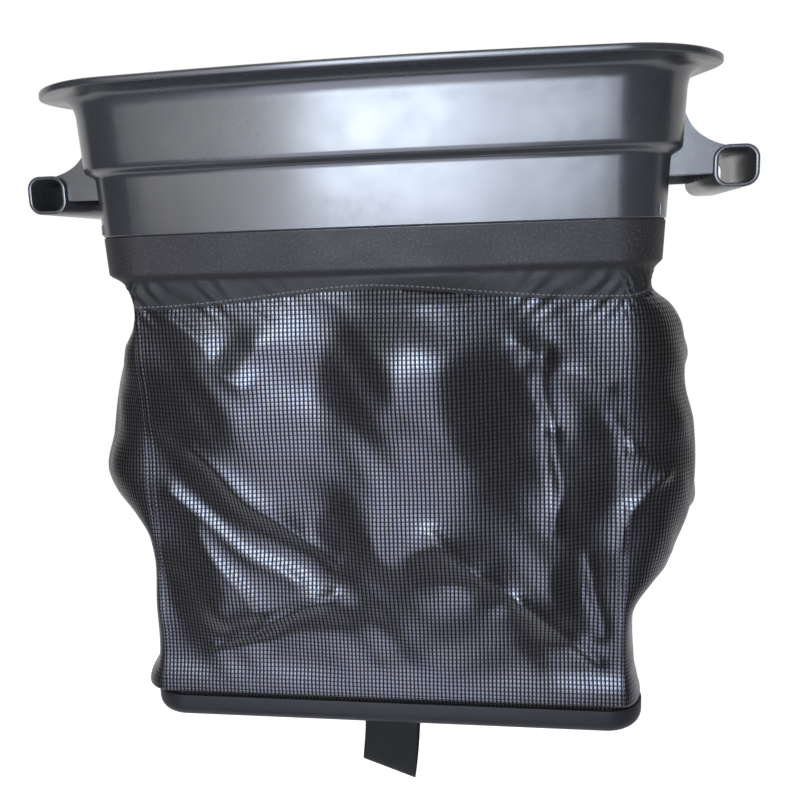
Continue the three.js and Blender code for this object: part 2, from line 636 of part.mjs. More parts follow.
// The strap is one closed loop: down through the front slot, round, up through the
// rear slot and back over the floor. It hangs longer at its right edge.
function makeStrap() {
  const floor = -(BASE_DROP - BASE_FLOOR) + GAP;
  const outline = (half) => {
    const path = new THREE.Shape();
    const top = floor + STRAP_THICK / 2;
    const bend = STRAP_THICK;
    const low = -(BASE_DROP + STRAP_DROP) - half;
    const shoulder = -(BASE_DROP + STRAP_DROP * 0.45);
    path.moveTo(strapFront - half, top - bend);
    path.lineTo(strapFront - half, shoulder);
    path.bezierCurveTo(strapFront - half, low, strapRear + half, low, strapRear + half, shoulder);
    path.lineTo(strapRear + half, top - bend);
    path.quadraticCurveTo(strapRear + half, top + half, strapRear - bend, top + half);
    path.lineTo(strapFront + bend, top + half);
    path.quadraticCurveTo(strapFront - half, top + half, strapFront - half, top - bend);
    return path;
  };
  const shape = outline(STRAP_THICK / 2);
  shape.holes.push(outline(-STRAP_THICK / 2));
  const geometry = new THREE.ExtrudeGeometry(shape,
    { depth: STRAP_WIDTH, steps: 4, bevelEnabled: false, curveSegments: 8 });
  // The outline's plane is turned upright, so that the width runs along X
  geometry.applyMatrix4(new THREE.Matrix4().makeBasis(new THREE.Vector3(0, 1, 0),
    new THREE.Vector3(0, 0, 1), new THREE.Vector3(1, 0, 0)));
  geometry.translate(STRAP_X - STRAP_WIDTH / 2, 0, 0);
  const position = geometry.getAttribute('position');
  for (let k = 0; k < position.count; k++) {
    const hang = clamp((-position.getZ(k) - BASE_DROP) / STRAP_DROP, 0, 1) ** 1.5;
    const across = (position.getX(k) - STRAP_X) / STRAP_WIDTH;
    position.setZ(k, position.getZ(k) - STRAP_SLANT * across * hang);
    position.setX(k, position.getX(k) + STRAP_SWAY * hang);
  }
  return mergeVertices(geometry.deleteAttribute('normal').deleteAttribute('uv'), 1e-4);
}

const plastic = { color: 0x17181b, roughness: 0.32, metalness: 0.0 };
const basePlastic = { color: 0x202125, roughness: 0.5, metalness: 0.0 };
const coated = { color: 0x1d1d1f, roughness: 0.72, metalness: 0.0 };
const meshCloth = { color: 0x23242b, roughness: 0.5, metalness: 0.0 };
const tapeCloth = { color: 0x19191b, roughness: 0.8, metalness: 0.0 };
const webbing = { color: 0x1a1a1b, roughness: 0.85, metalness: 0.0 };

const group = new THREE.Group();
function add(name, geometry, look) {
  const mesh = new THREE.Mesh(geometry, new THREE.MeshStandardMaterial({ ...look }));
  mesh.name = name;
  group.add(mesh);
}

add('collar', makeCollar(), plastic);

add('header_band', clothRing(bandDrops, 0, BAND_THICK), coated);
add('header_tape', clothRing(tapeDrops, BAND_THICK + TAPE_GAP, TAPE_THICK), tapeCloth);
add('mesh_front', frontWall(), meshCloth);
add('mesh_right', meshWall(1, 4), meshCloth);
add('mesh_rear', meshWall(4, 5), meshCloth);
add('mesh_left', meshWall(5, 8), meshCloth);
add('seam_front_right', cornerTape(1), tapeCloth);
add('seam_rear_right', cornerTape(4), tapeCloth);
add('seam_rear_left', cornerTape(5), tapeCloth);
add('seam_front_left', cornerTape(8), tapeCloth);
add('base_tray', makeBase(), basePlastic);
add('strap', makeStrap(), webbing);

export default group;
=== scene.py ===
"""Looks of a mower grass collection bag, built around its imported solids.

Sizes are in millimetres and become metres when a mesh is made. X runs to the right,
Y to the rear and Z up, from the middle of the collar's mouth. A drop is a distance
below the rim. The cloth is one surface: a point of it is given by its place u round
the bag (0 to 8: front, corner, right side, corner, rear, corner, left side, corner)
and by its drop.
"""
import math

import bpy
import numpy as np
from mathutils import Matrix, Vector


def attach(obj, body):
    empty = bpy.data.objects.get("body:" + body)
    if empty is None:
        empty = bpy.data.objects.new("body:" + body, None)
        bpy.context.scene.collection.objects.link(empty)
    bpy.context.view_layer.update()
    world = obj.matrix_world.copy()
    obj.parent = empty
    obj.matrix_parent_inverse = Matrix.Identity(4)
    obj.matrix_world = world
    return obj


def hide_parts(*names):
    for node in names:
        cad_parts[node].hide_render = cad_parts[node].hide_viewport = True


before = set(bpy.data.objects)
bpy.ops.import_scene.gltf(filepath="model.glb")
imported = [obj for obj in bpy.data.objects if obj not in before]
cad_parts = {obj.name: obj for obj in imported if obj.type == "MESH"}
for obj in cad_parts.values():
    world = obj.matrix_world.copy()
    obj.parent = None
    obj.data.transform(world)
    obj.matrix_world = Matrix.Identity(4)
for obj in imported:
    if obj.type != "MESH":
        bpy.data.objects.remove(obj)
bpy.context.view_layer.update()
MM = 0.001

# Collar
RIM_WIDTH, RIM_DEPTH, RIM_RADIUS = 520, 400, 80
RIM_THICK, RIM_EDGE_ROUND = 5, 1.4
LONG_SIDE_BOW, BOW_RUN_OUT = 14, 25
FLANGE_REACH, FLANGE_FILLET = 25.1, 13
SIDE_FLANGE, SIDE_FLANGE_FROM, SIDE_FLANGE_TO = 4, 158, 84
WALL = 3
DRAFT = math.tan(math.radians(3.2))
STEP_TOP, STEP_HEIGHT, STEP_IN = 56.5, 9.3, 7.9
COLLAR_LOW = STEP_TOP + STEP_HEIGHT + 43.8
LOWER_CHAMFER, SKIRT_SET_IN = 1.5, 2.2
SKIRT_LOW = COLLAR_LOW + 28
MOUTH_ROUND = 4
UPPER_ROWS, LOWER_ROW = (20, 35), 85
NIB_TURN, NIB_PROUD, NIB_WIDTH, NIB_HEIGHT = 52, 1.3, 2, 8
LUG_WIDTH, LUG_HEIGHT, LUG_RADIUS, LUG_WALL = 32.3, 30.6, 10.5, 3
LUG_LENGTH, LUG_OUTER, LUG_DROP, LUG_FRONT = 110, 287.3, 72.5, 125
WEB_THICK, WEB_SET_BACK, WEB_TOP_DROP, WEB_LOW = 4, 5, 25, 5
WEB_HOLLOW_OUT, WEB_HOLLOW_UP = 2, 6

# Cloth
GAP = 0.3
BAND_THICK, MESH_THICK, TAPE_THICK = 1.6, 1.2, 1.2
BAND_TOP = COLLAR_LOW + GAP
BAND_CREASE = SKIRT_LOW + 0.8
BAND_LOOSE_MIDDLE, BAND_LOOSE_CORNER = 15, 28
SEAM_IN_TOP, SEAM_IN_LOW = 32, 18.6
CORNER_DEPTH = 46
TAPE_WIDTH, TAPE_GAP, TAPE_END = 14, 1.2, 12
DEPTH_SWELL, LOW_SWELL, FACE_SWELL, SIDE_SWELL = 3, 3, 5, 7
TUCK_DEPTH, PUCKER_HEIGHT = 4.4, 1.2
FOLD_IN = 7

# How long each wall and corner is along the cloth, in the order of u, and where the middle
# of the rear wall lies on the unrolled cloth
FACE_RUN, CORNER_RUN, SIDE_RUN = 378, 62, 220
RUNS = (FACE_RUN, CORNER_RUN, SIDE_RUN, CORNER_RUN) * 2
REAR_PLACE = 760

# How far each side bulges, by the share of the way from the band's crease to the base
LEFT_BELLY = [
    (0, 0), (0.02, -8), (0.045, -17), (0.075, -24), (0.105, -17), (0.16, -4), (0.27, 10.5),
    (0.37, 19), (0.45, 28), (0.51, 22), (0.56, 8), (0.61, -5), (0.7, -7), (0.84, -2.5),
    (0.93, 0), (0.975, 8), (1, 8),
]
RIGHT_BELLY = [
    (0, 0), (0.06, -2), (0.095, 12), (0.135, 19.5), (0.2, 22), (0.27, 23), (0.35, 31),
    (0.46, 34.5), (0.55, 32), (0.65, 21), (0.7, 13), (0.76, -4.5), (0.81, -8.5), (0.92, -6),
    (0.97, -2), (1, 1),
]

# Base and strap
BASE_DROP, BASE_HEIGHT = 518.5, 21.5
BASE_TOP = BASE_DROP - BASE_HEIGHT
BASE_HALF_WIDTH, BASE_HALF_DEPTH, BASE_RADIUS, BASE_SHIFT = 209.8, 150, 32, 0.5
BASE_WALL, BASE_FLOOR, BASE_EDGE_ROUND, BASE_FILLET = 3, 2.5, 11, 7
BASE_TUCK = 11
STRAP_WIDTH, STRAP_THICK, STRAP_X = 45, 2, 1
STRAP_FRONT, STRAP_SPAN = 16 - BASE_HALF_DEPTH, 24
STRAP_DROP, STRAP_SLANT, STRAP_SWAY = 62.5, 21, -6

# Weave and stitches
THREAD_PITCH, CROSS_SHARE, COATED_PITCH = 3.2, 1.04, 0.9
STITCH_PITCH, STITCH_HALF_WIDTH, STITCH_EDGE = 3.8, 0.35, 0.6
STITCH_FROM_CORNER, STITCH_ABOVE_SEAM = 3, 2.6

# The front's slack, in millimetres on the unrolled front: across from the middle (beyond
# the corner seams it runs on round the corners) and up from the rim's plane.
# Leaning facets: middle, half sizes, turn in degrees, slope, and where they face.
TILTS = [
    (-152, -249, 46, 38, 0, 0.3, (-1, -0.2)),
    (-104, -334, 66, 17, -38, 0.34, (-0.6, -0.8)),
    (-160, -402, 28, 40, 0, 0.3, (-1, -0.1)),
    (-82, -425, 54, 19, 12, 0.37, (-0.1, -1)),
    (-9, -219, 35, 38, 0, 0.38, (-1, -0.1)),
    (-23, -349, 30, 34, 0, 0.38, (-1, -0.1)),
    (93, -254, 58, 38, -70, 0.34, (1, -0.1)),
    (163, -291, 21, 44, 0, 0.3, (1, 0)),
    (50, -369, 29, 22, 0, 0.37, (0.3, -1)),
    (86, -393, 15, 17, 0, 0.34, (0.6, -0.8)),
    (126, -424, 34, 18, -25, 0.33, (0.3, -1)),
    (146, -388, 13, 22, 0, 0.3, (1, -0.3)),
    (-104, -196, 16, 12, 0, 0.3, (-1, -0.3)),
    (127, -214, 11, 8, 0, 0.3, (1, -0.4)),
]

# Creases that stand proud: from, to, height and half width
CREASES = [
    ((-162, -169), (-95, -225), 3, 9), ((-149, -277), (-35, -371), 3.4, 8),
    ((-171, -315), (-67, -391), 3.4, 8), ((-147, -347), (-107, -409), 2, 6),
    ((-145, -449), (-37, -399), 2.8, 5), ((176, -454), (107, -404), 2.8, 5),
    ((107, -404), (43, -339), 2.2, 5), ((130, -202), (135, -263), 2.8, 5),
    ((135, -263), (141, -338), 3, 5), ((107, -201), (180, -229), 2, 6),
    ((172, -431), (164, -365), 2.6, 5), ((183, -254), (191, -277), 2, 5),
    ((191, -277), (219, -304), 2.2, 5), ((219, -304), (195, -325), 2.2, 5),
    ((195, -325), (192, -355), 2, 5),
]

# Folds of the other walls, from the middle of each wall: from, to, height, and half width
# on the upper and on the lower side
SIDE_FOLDS = [
    ((-120, -200), (-20, -262), 7, 24, 18),
    ((10, -190), (70, -300), 7, 20, 26),
    ((-110, -330), (0, -396), 8, 22, 14),
    ((20, -340), (120, -300), 6, 18, 22),
    ((-130, -452), (-30, -404), -7, 12, 18),
    ((130, -456), (40, -404), -7, 18, 12),
    ((-60, -250), (-70, -340), -6, 20, 20),
]
REAR_FOLDS = [
    ((-160, -180), (-70, -250), 7, 24, 18),
    ((-30, -170), (-10, -300), 7, 24, 24),
    ((60, -190), (150, -270), 8, 18, 26),
    ((-150, -300), (-40, -380), 9, 24, 16),
    ((30, -360), (140, -300), 8, 20, 24),
    ((-150, -452), (-30, -400), -8, 12, 22),
    ((150, -452), (40, -402), -8, 22, 12),
    ((0, -250), (90, -340), -6, 24, 24),
]

# Camera, fitted to the photograph
CAMERA_AT = (107.1, -791.4, -129.8)
CAMERA_TURN, CAMERA_TILT, CAMERA_ROLL = 7.802, 9.736, -1.838
LENS = 37.97

# Studio. Softboxes, in metres: place, aim, size, watts and colour
SOFTBOXES = {
    "camera": ((-0.07, -0.95, -0.04), (0, -0.1, -0.1), (0.34, 0.24), 3.6, (0.78, 0.87, 1.0)),
    "collar": ((0.05, -1.5, 0.02), (0.05, -0.1, 0), (1.0, 0.5), 29, (0.76, 0.85, 1.0)),
    "left": ((-0.74, -1.5, 0.02), (-0.74, -0.1, 0), (0.56, 0.5), 4, (1.0, 0.98, 0.95)),
    "cloth": ((-0.125, -0.95, -0.68), (-0.125, 0, -0.68), (0.75, 1.02), 14.5, (0.79, 0.81, 1.0)),
    "top": ((-0.5, -0.6, 1.4), (0, 0, -0.2), (1.2, 1.0), 9, (1.0, 1.0, 1.0)),
}
WORLD_FILL, FLOOR_GLOW = 0.45, 0.6
FLOOR_DROP, FLOOR_HALF = 1250, 9000
CARD_REACH, CARD_LOW, CARD_TOP = 2600, -1240, 1500
LOW_CARD_END, SIDE_CARD_END = -420, 300

FINE = 1
COLUMN_PITCH = 2.6 * FINE
LOOSE_ROWS, MESH_ROWS, TAPE_ROWS = 14 // FINE, 130 // FINE, 90


def lerp(a, b, t):
    return a + (b - a) * t


def smoothstep(x, low, high):
    t = np.clip((np.asarray(x, float) - low) / (high - low), 0, 1)
    return t * t * (3 - 2 * t)


# Meshes

def make_mesh(name, points, faces, uvs=None, smooth_angle=None):
    """A mesh object of points in millimetres. uvs names layers of one pair for each point."""
    mesh = bpy.data.meshes.new(name)
    mesh.from_pydata([tuple(MM * c for c in p) for p in points], [], faces)
    for layer_name, pairs in (uvs or {}).items():
        layer = mesh.uv_layers.new(name=layer_name)
        corner = np.zeros(len(mesh.loops), np.int32)
        mesh.loops.foreach_get("vertex_index", corner)
        layer.data.foreach_set("uv", (MM * np.asarray(pairs, float)[corner]).ravel())
    mesh.polygons.foreach_set("use_smooth", [True] * len(mesh.polygons))
    if smooth_angle is not None:
        mesh.set_sharp_from_angle(angle=math.radians(smooth_angle))
    piece = bpy.data.objects.new(name, mesh)
    bpy.context.scene.collection.objects.link(piece)
    return piece


def grid_faces(rows, columns, wrap_rows=False, wrap_columns=False):
    faces = []
    for r in range(rows if wrap_rows else rows - 1):
        for c in range(columns if wrap_columns else columns - 1):
            a, b = r * columns + c, r * columns + (c + 1) % columns
            low = (r + 1) % rows * columns
            faces.append((a, low + c, low + (c + 1) % columns, b))
    return faces


def join_parts(name, parts, smooth_angle=None):
    """One object of several (points, faces) parts."""
    points, faces = [], []
    for part_points, part_faces in parts:
        start = len(points)
        points.extend(part_points)
        faces.extend(tuple(start + k for k in face) for face in part_faces)
    return make_mesh(name, points, faces, smooth_angle=smooth_angle)


def loft(rows, caps=False):
    """A closed surface of rows of points; the rows join up unless they are capped."""
    count = len(rows[0])
    faces = grid_faces(len(rows), count, wrap_rows=not caps, wrap_columns=True)
    if caps:
        faces.append(tuple(range(count)))
        faces.append(tuple(reversed(range((len(rows) - 1) * count, len(rows) * count))))
    return [tuple(p) for row in rows for p in row], faces


def quadratic(a, b, c, steps):
    t = np.linspace(0, 1, steps + 1)[1:, None]
    a, b, c = map(np.array, (a, b, c))
    return ((1 - t) ** 2 * a + 2 * t * (1 - t) * b + t * t * c).tolist()


def cubic(a, b, c, d, steps):
    t = np.linspace(0, 1, steps + 1)[1:, None]
    a, b, c, d = map(np.array, (a, b, c, d))
    return ((1 - t) ** 3 * a + 3 * t * (1 - t) ** 2 * b + 3 * t * t * (1 - t) * c
            + t ** 3 * d).tolist()


def rounded_plan(half_width, half_depth, radius, z, shift=0, corner_steps=16, long_steps=1,
                 side_steps=1):
    """A turn round a rectangle with round corners, at height z."""
    points = []
    for sx, sy, start in ((1, -1, -90), (1, 1, 0), (-1, 1, 90), (-1, -1, 180)):
        for k in range(corner_steps + 1):
            a = math.radians(start + 90 * k / corner_steps)
            points.append((shift + sx * (half_width - radius) + radius * math.cos(a),
                           sy * (half_depth - radius) + radius * math.sin(a), z))
        steps = long_steps if sx == sy else side_steps
        for k in range(1, steps):
            along = 1 - 2 * k / steps
            if sx == sy:
                points.append((shift + sx * (half_width - radius) * along, sy * half_depth, z))
            else:
                points.append((shift + sx * half_width, sy * (half_depth - radius) * along, z))
    return points


# Collar

def bow_at(x):
    """How far the long sides bow out at x."""
    part = np.clip(np.abs(x) / (RIM_WIDTH / 2 + BOW_RUN_OUT), 0, 1)
    return LONG_SIDE_BOW * (1 - part ** 2) ** 2


def collar_plan(inset, z):
    """A turn round the collar, at an inset from the rim's edge and at height z."""
    points = rounded_plan(RIM_WIDTH / 2 - inset, RIM_DEPTH / 2 - inset, RIM_RADIUS - inset,
                          z, corner_steps=20, long_steps=28, side_steps=16)
    # along the short sides the flange narrows to a lip
    share = max(0, 1 - inset / FLANGE_REACH) * (FLANGE_REACH - SIDE_FLANGE)
    plan = []
    for x, y, z in points:
        narrow = 1 - float(smoothstep(abs(y), SIDE_FLANGE_TO, SIDE_FLANGE_FROM))
        pulled = x - math.copysign(share * narrow, x) * (abs(x) > RIM_WIDTH / 4)
        plan.append((pulled, y + math.copysign(float(bow_at(x)), y), z))
    return plan


def upper_inset(drop):
    return FLANGE_REACH + DRAFT * (drop - RIM_THICK)


def lower_inset(drop):
    return upper_inset(drop) + STEP_IN


def skirt_inset(drop):
    return lower_inset(COLLAR_LOW) + SKIRT_SET_IN + DRAFT * (drop - COLLAR_LOW)


def collar_profile():
    """The moulding's section, as inset from the rim's edge and height."""
    edge, step_low = RIM_EDGE_ROUND, STEP_TOP + STEP_HEIGHT
    bend = 0.55 * STEP_HEIGHT
    fillet_low = RIM_THICK + FLANGE_FILLET
    path = [(edge, 0)]
    path += quadratic((edge, 0), (0, 0), (0, -edge), 4)
    path += quadratic((0, edge - RIM_THICK), (0, -RIM_THICK), (edge, -RIM_THICK), 4)
    path += [(FLANGE_REACH - FLANGE_FILLET, -RIM_THICK)]
    path += quadratic((FLANGE_REACH - FLANGE_FILLET, -RIM_THICK), (FLANGE_REACH, -RIM_THICK),
                      (upper_inset(fillet_low), -fillet_low), 8)
    path += [(upper_inset(d), -d) for d in (*UPPER_ROWS, STEP_TOP - 1)]
    path += cubic((upper_inset(STEP_TOP), -STEP_TOP), (upper_inset(STEP_TOP), -STEP_TOP - bend),
                  (lower_inset(step_low), bend - step_low), (lower_inset(step_low), -step_low), 9)
    path += [(lower_inset(d), -d)
             for d in (step_low + 1, LOWER_ROW, COLLAR_LOW - LOWER_CHAMFER)]
    path += [(lower_inset(COLLAR_LOW) + LOWER_CHAMFER, -COLLAR_LOW),
             (skirt_inset(COLLAR_LOW), -COLLAR_LOW),
             (skirt_inset(SKIRT_LOW), -SKIRT_LOW),
             (skirt_inset(SKIRT_LOW) + WALL, -SKIRT_LOW),
             (skirt_inset(COLLAR_LOW) + WALL, WALL - COLLAR_LOW),
             (lower_inset(COLLAR_LOW) + WALL, 2 * WALL - COLLAR_LOW),
             (lower_inset(step_low) + WALL, -step_low)]
    path += cubic((lower_inset(step_low) + WALL, -step_low),
                  (lower_inset(step_low) + WALL, bend - step_low),
                  (upper_inset(STEP_TOP) + WALL, -STEP_TOP - bend),
                  (upper_inset(STEP_TOP) + WALL, -STEP_TOP), 6)
    mouth = upper_inset(RIM_THICK) + WALL
    path += [(mouth, -MOUTH_ROUND)]
    path += quadratic((mouth, -MOUTH_ROUND), (mouth, 0), (FLANGE_REACH + edge, 0), 5)
    return path


def lug_ring(side, inset, y):
    """A turn round the lug's section, rounded at its corners."""
    radius = LUG_RADIUS - inset
    half_x, half_z = LUG_WIDTH / 2 - LUG_RADIUS, LUG_HEIGHT / 2 - LUG_RADIUS
    middle = side * (LUG_OUTER - LUG_WIDTH / 2)
    ring = []
    for sx, sz, start in ((1, 1, 0), (-1, 1, 90), (-1, -1, 180), (1, -1, 270)):
        for k in range(9):
            a = math.radians(start + 90 * k / 8)
            ring.append((middle + sx * half_x + radius * math.cos(a), y,
                         -LUG_DROP + sz * half_z + radius * math.sin(a)))
    return ring


def lug_tube(side):
    front, rear, soft = -LUG_FRONT, LUG_LENGTH - LUG_FRONT, 0.9
    stations = [(0, front + soft), (0.3 * soft, front + 0.3 * soft), (soft, front),
                (LUG_WALL - soft, front), (LUG_WALL - 0.3 * soft, front + 0.3 * soft),
                (LUG_WALL, front + soft), (LUG_WALL, rear - soft),
                (LUG_WALL - 0.3 * soft, rear - 0.3 * soft), (LUG_WALL - soft, rear),
                (soft, rear), (0.3 * soft, rear - 0.3 * soft), (0, rear - soft)]
    rows = [lug_ring(side, inset, y) for inset, y in stations]
    points, faces = loft(rows)
    return points, [tuple(reversed(face)) for face in faces]


def lug_web(side, y):
    """The web between wall and lug: its upper edge is concave and runs up the wall."""
    def wall_x(drop):
        inset = upper_inset(drop) if drop < STEP_TOP + STEP_HEIGHT / 2 else lower_inset(drop)
        return side * (RIM_WIDTH / 2 - WALL / 2 - inset)
    lug_x = side * (LUG_OUTER - LUG_WIDTH / 2)
    lug_top = LUG_DROP - LUG_HEIGHT / 2 + LUG_WALL / 2
    low = LUG_DROP + WEB_LOW
    near = lug_x - side * (LUG_WIDTH - LUG_WALL) / 2
    outline = [(wall_x(WEB_TOP_DROP), -WEB_TOP_DROP)]
    hollow_x = side * (RIM_WIDTH / 2 - FLANGE_REACH + WEB_HOLLOW_OUT)
    outline += quadratic(outline[0], (hollow_x, WEB_HOLLOW_UP - lug_top), (lug_x, -lug_top), 12)
    # round the near upper corner of the tube, inside its wall
    bend = LUG_RADIUS - LUG_WALL / 2
    hub_x = near + side * bend
    for k in range(7):
        a = math.radians(15 * k)
        outline.append((hub_x - side * bend * math.sin(a), bend * (math.cos(a) - 1) - lug_top))
    outline += [(near, -low), (wall_x(low), -low),
                (wall_x(STEP_TOP + STEP_HEIGHT), -STEP_TOP - STEP_HEIGHT),
                (wall_x(STEP_TOP), -STEP_TOP)]
    soft = 0.7
    middle = np.mean(np.array(outline), axis=0)
    rows = []
    for away, shrink in ((0, soft), (soft, 0), (WEB_THICK - soft, 0), (WEB_THICK, soft)):
        ring = []
        for x, z in outline:
            pull = middle - np.array((x, z))
            pull = pull / np.linalg.norm(pull) * shrink
            ring.append((x + pull[0], y + away, z + pull[1]))
        rows.append(ring)
    return loft(rows, caps=True)


def nib_box(sx, sy):
    """A short locating nib low on a corner of the collar."""
    drop = COLLAR_LOW - LOWER_CHAMFER - NIB_HEIGHT / 2 - 1
    turn = math.radians(NIB_TURN)
    out = Vector((sx * math.sin(turn), sy * math.cos(turn), 0))
    across = Vector((-out.y, out.x, 0))
    reach = RIM_RADIUS - lower_inset(drop)
    hub = Vector((sx * (RIM_WIDTH / 2 - RIM_RADIUS), sy * (RIM_DEPTH / 2 - RIM_RADIUS), -drop))
    base = hub + out * reach
    base.y += sy * float(bow_at(base.x))
    points = []
    for away, taper in ((-1, 1), (NIB_PROUD - 0.4, 1), (NIB_PROUD, 0.7)):
        for ax, az in ((-1, -1), (1, -1), (1, 1), (-1, 1)):
            points.append(tuple(base + out * away + across * (ax * taper * NIB_WIDTH / 2)
                                + Vector((0, 0, az * (NIB_HEIGHT / 2 - (1 - taper))))))
    faces = grid_faces(3, 4, wrap_columns=True) + [(0, 1, 2, 3), (11, 10, 9, 8)]
    return points, faces


def make_collar():
    rows = [collar_plan(inset, z) for inset, z in collar_profile()]
    parts = [loft(rows)]
    rear = LUG_LENGTH - LUG_FRONT
    for side in (-1, 1):
        parts.append(lug_tube(side))
        for y in (WEB_SET_BACK - LUG_FRONT, rear - WEB_SET_BACK - WEB_THICK):
            parts.append(lug_web(side, y))
    parts += [nib_box(sx, sy) for sx in (-1, 1) for sy in (-1, 1)]
    return join_parts("collar_moulding", parts, smooth_angle=35)


# Cloth

def band_half(size, drop):
    """Half of the band's outer size at a drop, from the rim's whole size."""
    return size / 2 - (lower_inset(COLLAR_LOW) + SKIRT_SET_IN
                       + DRAFT * (drop - COLLAR_LOW)) + GAP + BAND_THICK


def belly(table, f):
    """A Catmull-Rom curve through the table's points, read at f."""
    at = np.array([p[0] for p in table], float)
    out = np.array([p[1] for p in table], float)
    k = np.clip(np.searchsorted(at, f, side="left") - 1, 0, len(at) - 2)
    t = np.clip((f - at[k]) / (at[k + 1] - at[k]), 0, 1)
    p0, p1 = out[np.maximum(k - 1, 0)], out[k]
    p2, p3 = out[k + 1], out[np.minimum(k + 2, len(at) - 1)]
    v0, v1 = (p2 - p0) / 2, (p3 - p1) / 2
    return ((2 * p1 - 2 * p2 + v0 + v1) * t ** 3 + (-3 * p1 + 3 * p2 - 2 * v0 - v1) * t ** 2
            + v0 * t + p1)


def cloth_section(drop):
    """Half sizes of the outer cloth face at a drop below the rim."""
    f = np.clip((drop - BAND_CREASE) / (BASE_TOP - BAND_CREASE), 0, 1)
    wide = band_half(RIM_WIDTH, np.minimum(drop, BAND_CREASE))
    deep = band_half(RIM_DEPTH, np.minimum(drop, BAND_CREASE))
    loose = smoothstep(drop, BAND_CREASE, BAND_CREASE + BAND_LOOSE_MIDDLE)
    tucked = smoothstep(drop, BASE_TOP - FOLD_IN, BASE_TOP - 0.6)
    in_tray = BASE_WALL + GAP
    straight = RIM_WIDTH / 2 - RIM_RADIUS

    def reach(side, table):
        base = BASE_HALF_WIDTH + side * BASE_SHIFT
        return lerp(lerp(wide, base, f) + belly(table, f), base - in_tray, tucked)

    def seam(side):
        out = lerp(wide - SEAM_IN_TOP, BASE_HALF_WIDTH - SEAM_IN_LOW, f)
        return lerp(lerp(straight, out, loose),
                    BASE_HALF_WIDTH - BASE_RADIUS + side * BASE_SHIFT, tucked)
    front = lerp(lerp(deep, BASE_HALF_DEPTH, f) + DEPTH_SWELL * np.sin(np.pi * f)
                 + LOW_SWELL * smoothstep(f, 0.9, 0.98), BASE_HALF_DEPTH - in_tray, tucked)
    return {
        "reach": {-1: reach(-1, LEFT_BELLY), 1: reach(1, RIGHT_BELLY)},
        "seam": {-1: seam(-1), 1: seam(1)},
        "front": front,
        "corner": lerp(lerp(wide - straight, CORNER_DEPTH, loose), BASE_RADIUS - in_tray, tucked),
        "bow": 1 - smoothstep(f, 0, 0.7),
        "loose": loose, "f": f, "slack": np.sin(np.pi * f) * (1 - tucked),
    }


def seat_of(w):
    """Where a point of the perimeter lies along its own wall, 0 to 1."""
    side = np.where(w < 4, (w - 1) / 3, (w - 5) / 3)
    flat = (w <= 1) | ((w >= 4) & (w <= 5))
    return np.clip(np.where(flat, w % 4, side), 0, 1)


def seam_drop(u):
    """The drop of the seam between band and mesh, which arches over each wall."""
    bow = np.abs(np.cos(np.pi * seat_of(u % 8))) ** 1.6
    return BAND_CREASE + lerp(BAND_LOOSE_MIDDLE, BAND_LOOSE_CORNER, bow)


def folds_at(s, z, folds):
    """Height of the folds at places s across and z up. Each fold wanders a little."""
    s = s + 4 * np.sin(z / 23 + 1.3) + 2.5 * np.sin(z / 9.7 + s / 31)
    z = z + 4 * np.sin(s / 27 + 0.6) + 2 * np.sin(s / 11.3)
    height = np.zeros_like(s)
    for (x0, z0), (x1, z1), tall, upper, lower in folds:
        run = np.array((x1 - x0, z1 - z0), float)
        length = np.hypot(*run)
        part = np.clip(((s - x0) * run[0] + (z - z0) * run[1]) / length ** 2, 0, 1)
        away_s, away_z = s - x0 - part * run[0], z - z0 - part * run[1]
        # positive to the upper right of a fold
        normal = np.array((-run[1], run[0])) / length
        if normal[0] + normal[1] < 0:
            normal = -normal
        over = away_s * normal[0] + away_z * normal[1]
        width = lerp(lower, upper, smoothstep(over, -6, 6))
        away = np.hypot(away_s, away_z) / width
        height += tall / (1 + away ** 2) ** 1.6
    return height


def front_relief(s, z):
    """Height of the front's facets and creases, whose edges wander a little."""
    s = s + 3 * np.sin(z / 19 + 1.3) + 1.6 * np.sin(z / 8.3 + s / 31)
    z = z + 3 * np.sin(s / 23 + 0.6) + 1.4 * np.sin(s / 9.7)
    height = np.zeros_like(s)
    for x0, z0, half_along, half_across, turn, slope, (to_x, to_z) in TILTS:
        away_s, away_z = s - x0, z - z0
        facing = (away_s * to_x + away_z * to_z) / math.hypot(to_x, to_z)
        c, d = math.cos(math.radians(turn)), math.sin(math.radians(turn))
        away = np.hypot((away_s * c + away_z * d) / half_along,
                        (away_z * c - away_s * d) / half_across)
        # flat within its edge, then the cloth comes back slowly
        height -= slope * facing * (1 + away ** 8) ** (-1 / 4) * np.exp(-(away / 4) ** 2)
    for (x0, z0), (x1, z1), tall, half in CREASES:
        run = np.array((x1 - x0, z1 - z0), float)
        part = np.clip(((s - x0) * run[0] + (z - z0) * run[1]) / (run @ run), 0, 1)
        away = np.hypot(s - x0 - part * run[0], z - z0 - part * run[1]) / half
        height += tall * np.exp(-away ** 1.5)
    return height


def slack_noise(s, z):
    """Small soft undulation that no cloth is free of."""
    return (0.6 * np.sin(s / 13 + 2 * np.sin(z / 29)) * np.sin(z / 17 + 1)
            + 0.35 * np.sin((s + z) / 8.3 + 1.7 * np.sin(s / 21))
            + 0.8 * np.sin(s / 33 - z / 41 + 2))


def cloth_relief(s, z, section, folds, edge):
    """Folds and slack together, which fade out towards the band, the base and an edge."""
    drop = -z
    fade = (smoothstep(drop, BAND_CREASE + 1, BAND_CREASE + 28)
            * (1 - smoothstep(section["f"], 0.9, 0.975)))
    relief = front_relief(s, z) if folds is None else folds_at(s, z, folds)
    return (relief + slack_noise(s, z)) * fade * edge


